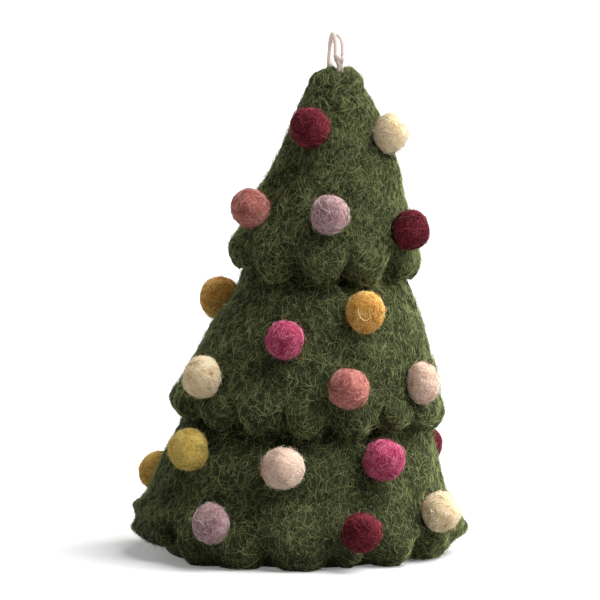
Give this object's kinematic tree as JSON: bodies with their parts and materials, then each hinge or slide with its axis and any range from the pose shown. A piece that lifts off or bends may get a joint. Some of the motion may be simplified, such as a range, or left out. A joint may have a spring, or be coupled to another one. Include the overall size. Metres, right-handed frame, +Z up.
{
  "type": "pom pom tree ornament",
  "caption": "Stuffed wool felt Christmas tree with scalloped tiers, small felt balls sewn on all over and a knotted string hanging loop on the tip.",
  "frame": {"origin": "centre of the base pad, on the surface that the tree stands on", "axes": "+Z up the tree, -Y towards the viewer of the picture, +X to the right in the picture"},
  "size_m": [0.0795, 0.092, 0.1272],
  "materials": {
    "green_felt": "matt fuzzy wool felt",
    "wool_stuffing": "matt loose wool",
    "cream_string": "matt twisted string",
    "crimson_felt": "matt wool felt",
    "cream_felt": "matt wool felt",
    "terracotta_felt": "matt wool felt",
    "lilac_felt": "matt wool felt",
    "mustard_felt": "matt wool felt",
    "magenta_felt": "matt wool felt",
    "blush_felt": "matt wool felt",
    "yellow_felt": "matt wool felt",
    "ochre_felt": "matt wool felt"
  },
  "bodies": {
    "tree": {"base_pad": "green_felt", "bottom_tier": "green_felt", "loop_stitch": "cream_string", "middle_tier": "green_felt", "pom_pom_01_yellow": "yellow_felt", "pom_pom_02_ochre": "ochre_felt", "pom_pom_03_blush": "blush_felt", "pom_pom_04_magenta": "magenta_felt", "pom_pom_05_crimson": "crimson_felt", "pom_pom_06_lilac": "lilac_felt", "pom_pom_07_crimson": "crimson_felt", "pom_pom_08_cream": "cream_felt", "pom_pom_09_terracotta": "terracotta_felt", "pom_pom_10_mustard": "mustard_felt", "pom_pom_11_magenta": "magenta_felt", "pom_pom_12_blush": "blush_felt", "pom_pom_13_cream": "cream_felt", "pom_pom_14_crimson": "crimson_felt", "pom_pom_15_mustard": "mustard_felt", "pom_pom_16_mustard": "mustard_felt", "pom_pom_17_magenta": "magenta_felt", "pom_pom_18_cream": "cream_felt", "pom_pom_19_terracotta": "terracotta_felt", "pom_pom_20_blush": "blush_felt", "pom_pom_21_crimson": "crimson_felt", "pom_pom_22_lilac": "lilac_felt", "pom_pom_23_ochre": "ochre_felt", "pom_pom_24_cream": "cream_felt", "pom_pom_25_crimson": "crimson_felt", "pom_pom_26_cream": "cream_felt", "pom_pom_27_terracotta": "terracotta_felt", "pom_pom_28_lilac": "lilac_felt", "pom_pom_29_crimson": "crimson_felt", "pom_pom_30_mustard": "mustard_felt", "pom_pom_31_magenta": "magenta_felt", "pom_pom_32_yellow": "yellow_felt", "top_tier": "green_felt", "wool_core": "wool_stuffing"},
    "loop": {"hanging_loop": "cream_string"}
  },
  "joints": [
    {"name": "loop_flop", "type": "hinge", "parent": "tree", "child": "loop", "pos_m": [0.0091, 0, 0.1196], "axis": [-0.492, 0.8706, 0], "range_deg": [-70, 70], "stiffness_Nm_per_rad": 0.000005}
  ]
}
